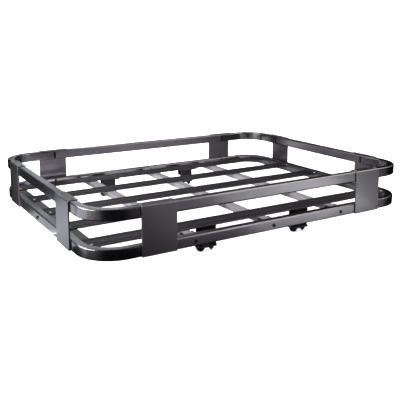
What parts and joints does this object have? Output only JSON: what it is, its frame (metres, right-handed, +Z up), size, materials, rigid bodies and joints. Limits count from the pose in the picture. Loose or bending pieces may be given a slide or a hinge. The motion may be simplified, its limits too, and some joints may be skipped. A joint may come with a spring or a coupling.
{
  "type": "roof basket",
  "caption": "Open rectangular roof basket with rounded corners, two levels of rail joined by upright plates, a slatted deck on crossbars and clamps underneath.",
  "frame": {"origin": "centre of the footprint, on the plane of the clamp studs' lower ends", "axes": "+X along the long sides, +Y across the basket from its near side to its far side, +Z up"},
  "size_m": [1.31, 1.01, 0.214],
  "materials": {
    "rail_black": "glossy black powder coat on the tubes",
    "plate_black": "satin black coat on the joint plates",
    "slat_black": "satin black, lightly textured",
    "bar_silver": "plain extruded aluminium, slightly grainy",
    "fitting_black": "matt black fittings"
  },
  "bodies": {
    "root": {"upper_rail_front": "rail_black", "upper_rail_back": "rail_black", "upper_rail_left": "rail_black", "upper_rail_right": "rail_black", "upper_corner_front_left": "rail_black", "upper_corner_front_right": "rail_black", "upper_corner_back_left": "rail_black", "upper_corner_back_right": "rail_black", "lower_rail_front": "rail_black", "lower_rail_back": "rail_black", "lower_rail_left": "rail_black", "lower_rail_right": "rail_black", "lower_corner_front_left": "rail_black", "lower_corner_front_right": "rail_black", "lower_corner_back_left": "rail_black", "lower_corner_back_right": "rail_black", "joint_plate_front_left": "plate_black", "joint_plate_front_right": "plate_black", "joint_plate_back_left": "plate_black", "joint_plate_back_right": "plate_black", "joint_plate_left_front": "plate_black", "joint_plate_left_back": "plate_black", "joint_plate_right_front": "plate_black", "joint_plate_right_back": "plate_black", "deck_slat_1": "slat_black", "deck_slat_2": "slat_black", "deck_slat_3": "slat_black", "deck_slat_4": "slat_black", "deck_slat_5": "slat_black", "crossbar_1": "bar_silver", "crossbar_2": "bar_silver", "crossbar_3": "bar_silver", "end_beam_left": "bar_silver", "end_beam_right": "bar_silver", "crossbar_cradles_front": "fitting_black", "crossbar_cradles_back": "fitting_black", "clamp_hanger_front_left": "fitting_black", "clamp_jaw_front_left": "fitting_black", "clamp_hanger_front_right": "fitting_black", "clamp_jaw_front_right": "fitting_black", "clamp_hanger_back_left": "fitting_black", "clamp_jaw_back_left": "fitting_black", "clamp_hanger_back_right": "fitting_black", "clamp_jaw_back_right": "fitting_black"}
  },
  "joints": []
}
